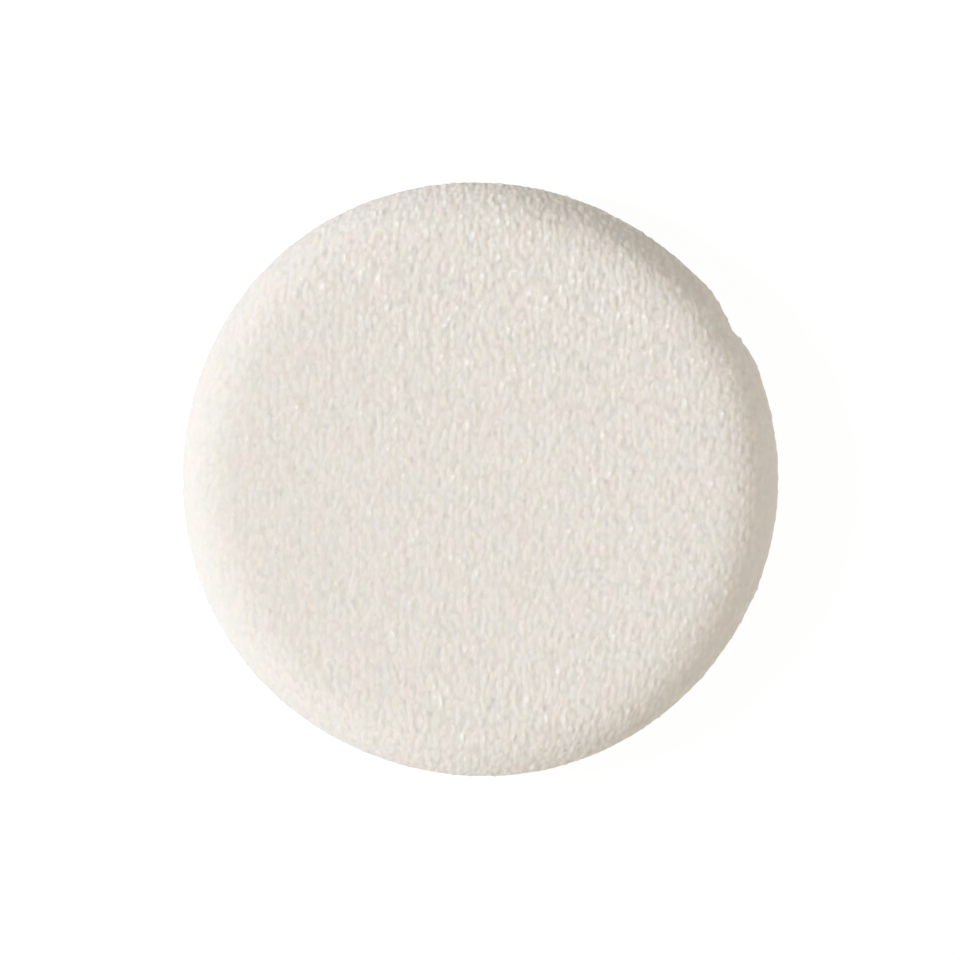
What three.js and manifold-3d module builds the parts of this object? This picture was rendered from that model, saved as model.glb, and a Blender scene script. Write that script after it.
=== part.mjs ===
// A round velour powder puff: two velour discs sewn face to face, turned right side out over a foam core,
// with a satin finger ribbon whose ends are caught in the edge seam.
// Millimetres, +Z up. The puff lies on its back with the powder face up, the table is z = 0,
// and the ribbon runs along X across the back.
import * as THREE from "three";
import { mergeGeometries, mergeVertices } from "three/addons/utils/BufferGeometryUtils.js";
import Module from "manifold-3d";

// Driving dimensions of the padded body
const PUFF_DIAMETER = 70; // at the fullest part of the rim
const SEAM_HEIGHT = 5.2; // table to the seam plane
const FRONT_RISE = 5.5; // seam plane to the edge of the powder face
const FRONT_CROWN = 0.3; // how much higher the middle of the powder face is
const BACK_SETTLE = 0.6; // crown of the back that its own weight presses flat
const RIM_ROLL = 7.0; // from the edge of the face to the rim, where the cover rolls over
const VELOUR = 1.6; // knitted ground and pile together

// Driving dimensions of the turned edge seam
const SEAM_PINCH = 1.2; // how far the seam draws the rim in
const SEAM_PINCH_REACH = 1.1; // half height of the drawn-in groove
const SEAM_GAP = 0.3; // between the two seam allowances
const ALLOWANCE = 6; // seam allowance, measured in from the rim
const ALLOWANCE_THICKNESS = 1; // velour pressed flat in the seam
const STITCH_INSET = 1.2; // stitch line, measured in from the inside of the rim
const STITCHES_PER_TURN = 40;
const THREAD = 0.3;
const NEEDLE_LOOP = 0.9; // width of the loop that the needle thread makes in each hole

// Driving dimensions of the hand-sewn closing, where the cover was turned and filled
const CLOSING_FROM_ANGLE = 18; // degrees from +X
const CLOSING_TO_ANGLE = 54;
const CLOSING_STITCHES = 5;
const CLOSING_REACH = 1.35; // radius of one whip stitch round the seam
const DENT_ANGLE = 30; // degrees from +X
const DENT_DEPTH = 0.6; // how far the closing stitches draw the rim in
const DENT_SPREAD_ANGLE = 8; // degrees
const DENT_FADE = 8; // power of the radius, so that the pull stays at the rim

// Driving dimensions of the finger ribbon
const RIBBON_WIDTH = 19;
const RIBBON_THICKNESS = 0.35;
const RIBBON_TURN = 1.2; // size of the bend where the ribbon enters the seam
const TACK_INSET = 1.3; // bar tack, measured out from the inner edge of the allowance
const TACK_WIDTH = 9;
const TACK_STITCHES = 3;

// Clearances
const FIT = 0.3; // between neighbouring pieces
const THREAD_FIT = 0.12; // between a thread and the cloth round it
const PAST = 2; // how far a cutting shape runs past what it cuts

// Fineness of the round forms
const ROUND_STEPS = STITCHES_PER_TURN; // one facet to a stitch
const RIM_ANGLES = [0, 24, 44, 62, 77, 90]; // from the edge of the face to the seam, in degrees
const LINING_ANGLES = [0, 45]; // the same inside the cover
const RIBBON_RIM_STEPS = 4; // round the rim
const RIBBON_BEND_STEPS = 4; // into the seam
const RIBBON_STEPS = 4; // across the ribbon's width
const THREAD_SIDES = 4;
const WHIP_STEPS = 6; // points on one whip stitch

const radians = THREE.MathUtils.degToRad;
const degrees = THREE.MathUtils.radToDeg;

// Sizes that follow from the driving dimensions

// How far a point of the rim would fall short of the pillow's own radius.
function rimLoss(angle) {
  const height = FRONT_RISE * Math.cos(radians(angle));
  return RIM_ROLL * (1 - Math.sin(radians(angle))) + pinchAt(height);
}

// The pull of the seam at a height above or below its plane.
function pinchAt(height) {
  return SEAM_PINCH * Math.exp(-((height / SEAM_PINCH_REACH) ** 2));
}

const RADIUS = PUFF_DIAMETER / 2 + Math.min(...RIM_ANGLES.map(rimLoss));
const BACK_RISE = SEAM_HEIGHT + BACK_SETTLE;
const SEAM_RADIUS = RADIUS - SEAM_PINCH;
const ALLOWANCE_EDGE = RADIUS - ALLOWANCE;
const ALLOWANCE_NEAR = SEAM_GAP / 2; // heights from the seam plane
const ALLOWANCE_FAR = ALLOWANCE_NEAR + ALLOWANCE_THICKNESS;
const STITCH_RADIUS = SEAM_RADIUS - VELOUR - STITCH_INSET;
const STITCH_SWEEP = (2 * Math.PI) / STITCHES_PER_TURN;
const THREAD_HEIGHT = ALLOWANCE_FAR + THREAD_FIT + THREAD / 2;
const HOLE_WIDTH = THREAD + 2 * THREAD_FIT;
const HOLE_HEIGHT = 2 * (ALLOWANCE_FAR + THREAD_FIT); // just past both allowances
const LOOP_HALF = NEEDLE_LOOP / 2 / STITCH_RADIUS; // as an angle
const LOOP_DROP = ALLOWANCE_THICKNESS / 2; // how far a needle loop reaches into the back allowance
const GROOVE_HALF = THREAD_HEIGHT + THREAD / 2 + FIT;
const CLOSING_RADIUS = SEAM_RADIUS + THREAD_FIT + THREAD / 2 - CLOSING_REACH;
const RIBBON_HALF = RIBBON_THICKNESS / 2;
const TACK_X = ALLOWANCE_EDGE + TACK_INSET;
const TACK_STEP = TACK_WIDTH / TACK_STITCHES;

// The two halves of the body: which side of the seam plane, how high, and what they lie on
const FRONT = { side: 1, rise: FRONT_RISE, crown: FRONT_CROWN, table: -Infinity };
const BACK = { side: -1, rise: BACK_RISE, crown: 0, table: 0 };

// Cutting

const wasm = await Module();
wasm.setup();

function solidOf(geometry) {
  const bare = geometry.clone();
  bare.deleteAttribute("normal");
  bare.deleteAttribute("uv");
  const merged = mergeVertices(bare);
  const corners = merged.index.array;
  const kept = [];
  for (let i = 0; i < corners.length; i += 3) {
    const [a, b, c] = corners.slice(i, i + 3);
    if (a !== b && b !== c && c !== a) kept.push(a, b, c);
  }
  const vertProperties = merged.attributes.position.array;
  const triVerts = new Uint32Array(kept);
  return new wasm.Manifold(new wasm.Mesh({ numProp: 3, vertProperties, triVerts }));
}

function geometryOf(solid) {
  const mesh = solid.getMesh();
  const geometry = new THREE.BufferGeometry();
  geometry.setAttribute("position", new THREE.BufferAttribute(mesh.vertProperties, 3));
  geometry.setIndex(new THREE.BufferAttribute(mesh.triVerts, 1));
  geometry.computeVertexNormals();
  return geometry;
}

function cut(geometry, ...tools) {
  return geometryOf(tools.reduce((solid, tool) => solid.subtract(solidOf(tool)), solidOf(geometry)));
}

// Curves of the padded body

// A point of the rolled section, a depth below the outer one: 0 degrees is at the edge of the face,
// 90 degrees is at the seam.
function rollPoint(angle, depth, { rise, side }) {
  const r = RADIUS - depth - (RIM_ROLL - depth) * (1 - Math.sin(radians(angle)));
  return new THREE.Vector2(r, SEAM_HEIGHT + side * (rise - depth) * Math.cos(radians(angle)));
}

// The outer section is drawn in towards the seam.
function rimPoint(angle, half) {
  const point = rollPoint(angle, 0, half);
  point.x -= pinchAt(point.y - SEAM_HEIGHT);
  return point;
}

// The angle at which a section of that rise is at a height from the seam plane.
function angleAt(height, rise) {
  return degrees(Math.acos(height / rise));
}

// Half a section from the axis outwards, a depth below the outer one, pressed flat where it would sink
// below its table.
function halfSection(pointAt, angles, depth, { side, rise, crown, table }) {
  const top = SEAM_HEIGHT + side * (rise + crown - depth);
  if (top > table + depth) return [new THREE.Vector2(0, top), ...angles.map(pointAt)];
  const level = table + depth;
  const flatEnd = angleAt(SEAM_HEIGHT - level, rise - depth);
  const flat = [new THREE.Vector2(0, level), new THREE.Vector2(pointAt(flatEnd).x, level)];
  return [...flat, ...angles.filter((angle) => angle > flatEnd).map(pointAt)];
}

function revolve(profile) {
  return new THREE.LatheGeometry(profile, ROUND_STEPS).rotateX(Math.PI / 2);
}

// The closing stitches draw the rim in at one place: the share of its radius that a point keeps.
function pullAt(x, y) {
  const r = Math.hypot(x, y);
  const turn = degrees(Math.atan2(y, x)) - DENT_ANGLE;
  const away = THREE.MathUtils.euclideanModulo(turn + 180, 360) - 180;
  const pull = DENT_DEPTH * Math.exp(-((away / DENT_SPREAD_ANGLE) ** 2)) * (r / RADIUS) ** DENT_FADE;
  return r > 0 ? 1 - pull / r : 1;
}

function drawnIn(geometry) {
  const points = geometry.attributes.position;
  for (let i = 0; i < points.count; i++) {
    const [x, y] = [points.getX(i), points.getY(i)];
    const keep = pullAt(x, y);
    points.setXY(i, x * keep, y * keep);
  }
  return geometry;
}

// Velour covers: a formed disc whose edge turns in along the seam plane as the seam allowance

function coverSection(half) {
  const { side, rise } = half;
  const liningAngles = [...LINING_ANGLES, angleAt(ALLOWANCE_FAR, rise - VELOUR)];
  const outside = halfSection((angle) => rimPoint(angle, half), RIM_ANGLES, 0, half);
  const lining = halfSection((angle) => rollPoint(angle, VELOUR, half), liningAngles, VELOUR, half);
  const allowance = [
    new THREE.Vector2(ALLOWANCE_EDGE, SEAM_HEIGHT + side * ALLOWANCE_NEAR),
    new THREE.Vector2(ALLOWANCE_EDGE, SEAM_HEIGHT + side * ALLOWANCE_FAR),
  ];
  outside.at(-1).y = allowance[0].y;
  return [...outside, ...allowance, ...lining.reverse()];
}

function frontSolid() {
  return drawnIn(revolve(coverSection(FRONT).reverse()));
}

function backSolid() {
  return drawnIn(revolve(coverSection(BACK)));
}

// Foam core: fills the cover, with a groove in its edge where the seam allowances press in

function foamHalf(half) {
  const depth = VELOUR + FIT;
  const lip = angleAt(GROOVE_HALF, half.rise - depth);
  const angles = [...LINING_ANGLES.filter((angle) => angle < lip), lip];
  return halfSection((angle) => rollPoint(angle, depth, half), angles, depth, half);
}

function foamSolid() {
  const groove = [BACK, FRONT].map(
    ({ side }) => new THREE.Vector2(ALLOWANCE_EDGE - FIT, SEAM_HEIGHT + side * GROOVE_HALF),
  );
  return drawnIn(revolve([...foamHalf(BACK), ...groove, ...foamHalf(FRONT).reverse()]));
}

// Finger ribbon: one flat band, from the seam on one side, across the back, to the seam on the other

// The middle of the ribbon's thickness from the flat of the back, round the rim and into the seam.
function ribbonHalfLine(tabEnd) {
  const flatEnd = angleAt(SEAM_HEIGHT, BACK_RISE);
  const bendFrom = angleAt(RIBBON_TURN, BACK_RISE);
  const outer = [new THREE.Vector2(0, 0)];
  for (let i = 0; i <= RIBBON_RIM_STEPS; i++) {
    outer.push(rimPoint(THREE.MathUtils.lerp(flatEnd, bendFrom, i / RIBBON_RIM_STEPS), BACK));
  }
  const middle = offsetLine(outer, RIBBON_HALF).slice(1);
  const seamEntry = new THREE.Vector2(SEAM_RADIUS - RIBBON_HALF, SEAM_HEIGHT);
  const tabStart = seamEntry.clone().setX(seamEntry.x - RIBBON_TURN);
  const bend = new THREE.QuadraticBezierCurve(middle.at(-1), seamEntry, tabStart);
  return [...middle, ...bend.getPoints(RIBBON_BEND_STEPS).slice(1), tabStart.clone().setX(tabEnd)];
}

function ribbonLine(tabEnd) {
  const right = ribbonHalfLine(tabEnd);
  const left = right.map((point) => new THREE.Vector2(-point.x, point.y)).reverse();
  return [...left, ...right];
}

// A line moved to its left by a distance, with mitred corners.
function offsetLine(line, distance) {
  return line.map((point, i) => {
    const into = point.clone().sub(line[i - 1] ?? point);
    const out = (line[i + 1] ?? point).clone().sub(point);
    const along = into.normalize().add(out.normalize());
    const reach = i > 0 && i < line.length - 1 ? 2 / along.length() : 1;
    along.normalize();
    return new THREE.Vector2(point.x - along.y * distance * reach, point.y + along.x * distance * reach);
  });
}

// The band lies across Y, and where it goes round the rim it follows the rim's circle.
function roundTheRim(geometry) {
  const points = geometry.attributes.position;
  for (let i = 0; i < points.count; i++) {
    const [x, y] = [points.getX(i), points.getY(i)];
    points.setX(i, Math.sign(x) * Math.sqrt(x * x - y * y));
  }
  return geometry;
}

// A band along a line in the XZ plane, from a distance inside the line to a distance outside it.
function band(line, inside, outside, width) {
  const outline = new THREE.Shape([...offsetLine(line, -outside), ...offsetLine(line, inside).reverse()]);
  const options = { depth: width, steps: RIBBON_STEPS, bevelEnabled: false };
  const straight = new THREE.ExtrudeGeometry(outline, options);
  return roundTheRim(straight.rotateX(Math.PI / 2).translate(0, width / 2, 0));
}

function ribbonSolid() {
  return band(ribbonLine(ALLOWANCE_EDGE), RIBBON_HALF, RIBBON_HALF, RIBBON_WIDTH);
}

// What the ribbon presses out of the back cover: a channel along its whole way.
function ribbonChannel() {
  const line = ribbonLine(ALLOWANCE_EDGE - FIT);
  return band(line, RIBBON_HALF + FIT, RIBBON_HALF + PAST, RIBBON_WIDTH + 2 * FIT);
}

// What the ribbon's sewn ends press out of the front cover's allowance.
function ribbonPockets() {
  const from = ALLOWANCE_EDGE - FIT;
  const length = RADIUS + PAST - from;
  const size = [length, RIBBON_WIDTH + 2 * FIT, RIBBON_THICKNESS + 2 * FIT];
  const pocket = (side) =>
    new THREE.BoxGeometry(...size, 1, RIBBON_STEPS, 1).translate(side * (from + length / 2), 0, SEAM_HEIGHT);
  return mergeGeometries([-1, 1].map((side) => roundTheRim(pocket(side))));
}

// Threads

// A smooth line that is sampled exactly at its own points.
class ThreadLine extends THREE.CatmullRomCurve3 {
  getPointAt(u, target) {
    return this.getPoint(u, target);
  }
  getTangentAt(u, target) {
    return this.getTangent(u, target);
  }
}

function threadAlong(points, diameter) {
  const corner = (i) => {
    const angle = (i + 0.5) * ((2 * Math.PI) / THREAD_SIDES);
    return new THREE.Vector2(Math.cos(angle), Math.sin(angle)).multiplyScalar(diameter / 2);
  };
  const section = new THREE.Shape(Array.from({ length: THREAD_SIDES }, (_, i) => corner(i)));
  const options = { steps: points.length - 1, extrudePath: new ThreadLine(points), bevelEnabled: false };
  return new THREE.ExtrudeGeometry(section, options);
}

function onCircle(radius, angle, height) {
  return new THREE.Vector3(radius * Math.cos(angle), radius * Math.sin(angle), SEAM_HEIGHT + height);
}

// Machine seam: from the end of the hand-sewn closing, round to its start

const FIRST_STITCH = Math.ceil(radians(CLOSING_TO_ANGLE) / STITCH_SWEEP);
const STITCH_AFTER_LAST = Math.floor(radians(CLOSING_FROM_ANGLE + 360) / STITCH_SWEEP);
const stitchAngles = [];
for (let i = FIRST_STITCH; i < STITCH_AFTER_LAST; i++) stitchAngles.push((i + 0.5) * STITCH_SWEEP);

// The needle thread lies on the front allowance and loops down through every hole.
function needleThread() {
  const at = (angle, height) => onCircle(STITCH_RADIUS, angle, height);
  const points = stitchAngles.flatMap((angle) => [
    at(angle - STITCH_SWEEP / 2, THREAD_HEIGHT),
    at(angle - LOOP_HALF, THREAD_HEIGHT),
    at(angle - LOOP_HALF, -ALLOWANCE_NEAR),
    at(angle, -ALLOWANCE_NEAR - LOOP_DROP),
    at(angle + LOOP_HALF, -ALLOWANCE_NEAR),
    at(angle + LOOP_HALF, THREAD_HEIGHT),
  ]);
  points.push(at(stitchAngles.at(-1) + STITCH_SWEEP / 2, THREAD_HEIGHT));
  return threadAlong(points, THREAD);
}

// The bobbin thread lies under the back allowance, below the needle loops that hold it.
function bobbinThread() {
  const at = (angle) => onCircle(STITCH_RADIUS, angle, -THREAD_HEIGHT);
  const points = stitchAngles.flatMap((angle) => [at(angle - STITCH_SWEEP / 2), at(angle)]);
  points.push(at(stitchAngles.at(-1) + STITCH_SWEEP / 2));
  return threadAlong(points, THREAD);
}

function needleHoles() {
  const hole = (angle) => {
    const slot = new THREE.BoxGeometry(HOLE_WIDTH, NEEDLE_LOOP + HOLE_WIDTH, HOLE_HEIGHT);
    return slot.rotateZ(angle).translate(...onCircle(STITCH_RADIUS, angle, 0).toArray());
  };
  return mergeGeometries(stitchAngles.map(hole));
}

// Hand-sewn closing: a whip stitch that winds round the seam

function closingLine() {
  const count = CLOSING_STITCHES * WHIP_STEPS;
  const margin = (CLOSING_TO_ANGLE - CLOSING_FROM_ANGLE) / CLOSING_STITCHES / 2;
  return Array.from({ length: count + 1 }, (_, i) => {
    const angle = THREE.MathUtils.lerp(CLOSING_FROM_ANGLE + margin, CLOSING_TO_ANGLE - margin, i / count);
    const turn = (i / WHIP_STEPS) * 2 * Math.PI;
    const radius = CLOSING_RADIUS + CLOSING_REACH * Math.cos(turn);
    const point = onCircle(radius, radians(angle), CLOSING_REACH * Math.sin(turn));
    const keep = pullAt(point.x, point.y);
    return new THREE.Vector3(point.x * keep, point.y * keep, point.z);
  });
}

function closingThread() {
  return threadAlong(closingLine(), THREAD);
}

function closingTunnel() {
  return threadAlong(closingLine(), HOLE_WIDTH);
}

// Bar tacks: a running stitch across each sewn end of the ribbon, through both allowances

const tackHoleYs = Array.from({ length: TACK_STITCHES + 1 }, (_, i) => i * TACK_STEP - TACK_WIDTH / 2);

function tackThread(side) {
  const at = (y, height) => new THREE.Vector3(side * TACK_X, y, SEAM_HEIGHT + height);
  const points = tackHoleYs.flatMap((y, i) => {
    const to = i % 2 === 0 ? THREAD_HEIGHT : -THREAD_HEIGHT;
    return [at(y, -to), at(y, to), at(y + TACK_STEP / 2, to)];
  });
  return threadAlong(points.slice(0, -1), THREAD);
}

function tackHoles() {
  const hole = (side, y) =>
    new THREE.BoxGeometry(HOLE_WIDTH, HOLE_WIDTH, HOLE_HEIGHT).translate(side * TACK_X, y, SEAM_HEIGHT);
  return mergeGeometries([-1, 1].flatMap((side) => tackHoleYs.map((y) => hole(side, y))));
}

// Finishes

function finish(color, roughness) {
  return new THREE.MeshStandardMaterial({ color, roughness, metalness: 0 });
}

const velour = () => finish("#e5e0d6", 0.95);
const satin = () => finish("#f0ebdf", 0.45);
const foam = () => finish("#f2ecd8", 0.9);
const cotton = () => finish("#ebe6da", 0.8);

// Assembly

const puff = new THREE.Group();

function add(name, geometry, material) {
  const mesh = new THREE.Mesh(geometry, material);
  mesh.name = name;
  puff.add(mesh);
}

const threadWays = [needleHoles(), tackHoles()];

add("front_velour_cover", cut(frontSolid(), ...threadWays, closingTunnel(), ribbonPockets()), velour());
add("back_velour_cover", cut(backSolid(), ...threadWays, closingTunnel(), ribbonChannel()), velour());
add("foam_core", foamSolid(), foam());
add("ribbon_strap", cut(ribbonSolid(), ...threadWays), satin());
add("seam_needle_thread", needleThread(), cotton());
add("seam_bobbin_thread", bobbinThread(), cotton());
add("closing_thread", closingThread(), cotton());
add("ribbon_tack_left", tackThread(-1), cotton());
add("ribbon_tack_right", tackThread(1), cotton());

export default puff;
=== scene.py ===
# %% [markdown]
# # A velour powder puff
# The real puff is a flat round pad for pressed powder. Two discs of ivory cotton velour are sewn face to
# face, turned right side out through a gap in the seam, filled with a disc of foam and closed by hand. A
# satin ribbon lies across the back for two fingers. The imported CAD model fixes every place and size. This
# lesson keeps that frame and gives each soft piece the form and the finish that plain solids can't have.

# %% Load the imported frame
import math

import bmesh
import bpy
import numpy as np
from mathutils import Matrix, Vector


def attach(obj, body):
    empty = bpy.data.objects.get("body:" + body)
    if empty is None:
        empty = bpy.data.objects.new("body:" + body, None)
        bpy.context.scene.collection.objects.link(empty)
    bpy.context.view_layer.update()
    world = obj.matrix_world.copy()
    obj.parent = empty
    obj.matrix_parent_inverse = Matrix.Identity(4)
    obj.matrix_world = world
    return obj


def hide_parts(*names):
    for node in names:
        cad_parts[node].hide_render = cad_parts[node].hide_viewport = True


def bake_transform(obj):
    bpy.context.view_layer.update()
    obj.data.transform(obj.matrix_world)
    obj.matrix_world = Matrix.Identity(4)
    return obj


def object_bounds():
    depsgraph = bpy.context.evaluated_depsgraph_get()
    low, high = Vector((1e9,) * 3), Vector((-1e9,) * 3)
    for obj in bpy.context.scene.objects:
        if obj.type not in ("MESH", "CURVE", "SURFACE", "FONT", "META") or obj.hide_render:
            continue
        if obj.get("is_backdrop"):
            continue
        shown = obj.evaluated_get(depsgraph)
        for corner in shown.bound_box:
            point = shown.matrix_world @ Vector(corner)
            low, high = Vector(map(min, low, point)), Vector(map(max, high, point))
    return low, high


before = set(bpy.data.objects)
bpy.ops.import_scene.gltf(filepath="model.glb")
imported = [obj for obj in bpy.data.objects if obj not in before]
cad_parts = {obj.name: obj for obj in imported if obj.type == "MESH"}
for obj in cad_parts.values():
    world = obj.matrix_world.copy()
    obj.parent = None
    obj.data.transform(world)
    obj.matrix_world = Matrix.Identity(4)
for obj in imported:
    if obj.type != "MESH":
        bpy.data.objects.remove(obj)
CAD_BOX = [list(corner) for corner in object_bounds()]
MM = 0.001  # the scene is in metres, and the sizes below are in millimetres
print("nodes:", ", ".join(sorted(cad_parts)))
print("CAD box in mm:", [[round(x / MM, 2) for x in corner] for corner in CAD_BOX])

# %% [markdown]
# ## Camera
# The photograph looks straight down on the powder face from far away, so its outline is an almost true
# circle. A camera that isn't turned at all already looks down -Z with +Y up. Its lens follows from how wide
# a strip the picture takes in at the height of the rim, so that the puff comes out as large as in the
# photograph.

# %% Camera
PICTURE_WIDTH = 112.7  # at the height of the rim
RIM_HEIGHT = 6.9
CAMERA_HEIGHT = 700.0
CAMERA_OFFSET = (0.04, -0.12)  # the puff lies a pixel above the middle of the picture


def linked(name, data):
    """A new object in the scene."""
    piece = bpy.data.objects.new(name, data)
    bpy.context.scene.collection.objects.link(piece)
    return piece


camera_data = bpy.data.cameras.new("overhead_camera")
camera_data.lens = camera_data.sensor_width * (CAMERA_HEIGHT - RIM_HEIGHT) / PICTURE_WIDTH
camera = linked("overhead_camera", camera_data)
camera.location = Vector((*CAMERA_OFFSET, CAMERA_HEIGHT)) * MM
bpy.context.scene.camera = camera
print(f"lens {camera_data.lens:.1f} mm")

# %% [markdown]
# ## Sizes of the padded body
# These are the same named sizes as in the CAD source, in millimetres. The cover's section is a flat face
# that rolls over at the rim and is drawn in at the seam. The CAD solid has a few straight facets there.
# Here the same formulas give the smooth line, and its radius is set so that the fullest part of the rim is
# 70 mm across.

# %% Sizes of the padded body
PUFF_RADIUS = 35.0
SEAM_HEIGHT = 5.2
FRONT_RISE = 5.5
FRONT_CROWN = 0.3
BACK_RISE = 5.8
RIM_ROLL = 7.0
SEAM_PINCH = 1.2
SEAM_PINCH_REACH = 1.1
VELOUR = 1.6
ALLOWANCE = 6.0
ALLOWANCE_THICKNESS = 1.0

SECTION_STEPS = 400
ROLL = np.linspace(0, math.pi / 2, SECTION_STEPS)  # from the edge of the face to the seam


def drawn_in(height):
    """How far the seam draws the rim in at a height above or below it."""
    return SEAM_PINCH * np.exp(-((height / SEAM_PINCH_REACH) ** 2))


FORM_RADIUS = PUFF_RADIUS + (RIM_ROLL * (1 - np.sin(ROLL)) + drawn_in(FRONT_RISE * np.cos(ROLL))).min()


def section(side, rise, crown):
    """The cover's section from its middle to the seam: run along the cloth, radius and height."""
    radius = FORM_RADIUS - RIM_ROLL * (1 - np.sin(ROLL)) - drawn_in(rise * np.cos(ROLL))
    radius = np.concatenate([np.linspace(0, radius[0], SECTION_STEPS)[:-1], radius])
    rising = np.concatenate([np.full(SECTION_STEPS - 1, rise), rise * np.cos(ROLL)])
    rising = rising + crown * (1 - (radius / radius.max()) ** 2)
    height = np.maximum(SEAM_HEIGHT + side * rising, 0)
    run = np.concatenate([[0], np.cumsum(np.hypot(np.diff(radius), np.diff(height)))])
    return run, radius, height


FRONT_SECTION = section(1, FRONT_RISE, FRONT_CROWN)
BACK_SECTION = section(-1, BACK_RISE, 0)
print(f"form radius {FORM_RADIUS:.2f} mm")
print(f"cloth from middle to seam: front {FRONT_SECTION[0][-1]:.2f} mm, back {BACK_SECTION[0][-1]:.2f} mm")

# %% [markdown]
# ## Cutting the two discs
# Each cover starts as a flat grid, like the weave of a cut disc. The square grid is mapped to a disc so
# that its lines stay along the knit, and the disc is laid over the section. Its flat place stays with each
# point as an attribute, because the knit, the pile and the dye all follow the cloth and not the space round
# it.

# %% Cut the discs
FRONT_GRID, BACK_GRID = (136, 100), (104, 76)  # finer across the knit's wales than along them


def vectors_of(items, field):
    """A field of three numbers of a mesh's points, normals or attribute values, as an array."""
    values = np.empty(3 * len(items), np.float32)
    items.foreach_get(field, values)
    return values.reshape(-1, 3).astype(float)


def points_of(mesh):
    """A mesh's points as an array, in millimetres."""
    return vectors_of(mesh.vertices, "co") / MM


def move_points(mesh, points):
    """Puts a mesh's points where an array in millimetres says."""
    mesh.vertices.foreach_set("co", (points * MM).astype(np.float32).ravel())
    mesh.update()


def keep_values(mesh, name, values):
    """Stores an array as a point attribute of one or three numbers."""
    wide = values.ndim == 2
    attribute = mesh.attributes.new(name, "FLOAT_VECTOR" if wide else "FLOAT", "POINT")
    attribute.data.foreach_set("vector" if wide else "value", values.astype(np.float32).ravel())


def as_mesh(name, made):
    """Turns a bmesh into a mesh."""
    mesh = bpy.data.meshes.new(name)
    made.to_mesh(mesh)
    made.free()
    return mesh


def grid_mesh(name, cells):
    """A square grid from -1 to 1 mm."""
    grid = bmesh.new()
    bmesh.ops.create_grid(grid, x_segments=cells[0], y_segments=cells[1], size=MM)
    return as_mesh(name, grid)


def cut_disc(name, form, cells):
    """A disc of cloth laid over a section, with its flat place kept as the attribute cut."""
    mesh = grid_mesh(name, cells)
    across, along, _ = points_of(mesh).T
    run, radius, height = form
    flat = np.stack([across * np.sqrt(1 - along**2 / 2), along * np.sqrt(1 - across**2 / 2)], axis=1)
    flat *= run[-1]
    out = np.hypot(*flat.T)
    towards = flat / np.maximum(out, 1e-9)[:, None]
    laid = np.column_stack([towards * np.interp(out, run, radius)[:, None], np.interp(out, run, height)])
    keep_values(mesh, "cut", np.column_stack([flat, run[-1] - out]))
    move_points(mesh, laid)
    return linked(name, mesh)


front = cut_disc("front_velour", FRONT_SECTION, FRONT_GRID)
back = cut_disc("back_velour", BACK_SECTION, BACK_GRID)
for disc in (front, back):
    print(disc.name, len(disc.data.vertices), "points")

# %% [markdown]
# ## Filling the covers
# A stuffed cover isn't a turned solid: the foam pushes the cloth out until the seam stops it. Blender's
# cloth does that with air pressure. The solver's settings suit furniture, so each cover is blown up at ten
# times its size from a slightly slack start, with its seam pinned. Air alone would go on to blow up a ball,
# but foam pushes only as far as its own flat shape. So no point may end further than a cap from the
# section, and the rim keeps its width.

# %% Fill the covers
SLACK, UNEVEN, UNEVEN_SEED = 0.2, 0.02, 7  # the slack, and how it differs from point to point
PRESSURE = 0.1
STRETCH_STIFFNESS, BENDING_STIFFNESS = 30, 2
TRIAL_STEPS = 20
TRIAL_SCALE = 10
SEAM_HOLD = 3.0  # the seam's hold fades out this far from it
PINNED = 0.02  # points that are less free than this are pinned
CAP = 0.2  # the filling moves no point further than this
SIDEWAYS = 0.2  # share of the cloth's sideways moves that is kept


def outward_of(mesh, side):
    """Point normals that look out of a cover. The side is 1 for the front and -1 for the back."""
    normals = vectors_of(mesh.vertex_normals, "vector")
    return normals * np.sign((normals[:, 2] * side).sum())


def fill(disc, side):
    """Blows a cover up from inside, with its seam held, and keeps what the cap allows."""
    mesh = disc.data
    laid = points_of(mesh)
    free = np.clip(vectors_of(mesh.attributes["cut"].data, "vector")[:, 2] / SEAM_HOLD, 0, 1)
    uneven = np.random.default_rng(UNEVEN_SEED).normal(0, UNEVEN, len(laid))
    start = laid - outward_of(mesh, side) * (SLACK * free + uneven * free)[:, None]
    trial = linked("trial", mesh.copy())
    move_points(trial.data, start * TRIAL_SCALE)
    seam = trial.vertex_groups.new(name="seam")
    seam.add(np.flatnonzero(free < PINNED).tolist(), 1.0, "REPLACE")
    cloth = trial.modifiers.new("filling", "CLOTH").settings
    cloth.vertex_group_mass = "seam"
    cloth.use_pressure = True
    facing = vectors_of(trial.data.vertex_normals, "vector")[:, 2] * side
    cloth.uniform_pressure_force = PRESSURE * np.sign(facing.sum())
    cloth.effector_weights.gravity = 0
    cloth.tension_stiffness = cloth.compression_stiffness = STRETCH_STIFFNESS
    cloth.bending_stiffness = BENDING_STIFFNESS
    for step in range(1, TRIAL_STEPS + 1):
        bpy.context.scene.frame_set(step)
    filled = points_of(trial.evaluated_get(bpy.context.evaluated_depsgraph_get()).data) / TRIAL_SCALE
    spent = trial.data
    bpy.data.objects.remove(trial)
    bpy.data.meshes.remove(spent)
    bpy.context.scene.frame_set(1)
    moved = filled - laid
    far = np.linalg.norm(moved, axis=1)
    moved *= (np.minimum(far, CAP) / np.maximum(far, 1e-9) * free)[:, None]
    moved[:, :2] *= SIDEWAYS
    move_points(mesh, laid + moved)
    print(f"{disc.name}: the cloth moved {far.mean():.2f} mm on average, {far.max():.2f} mm at most")


fill(front, 1)
fill(back, -1)

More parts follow.
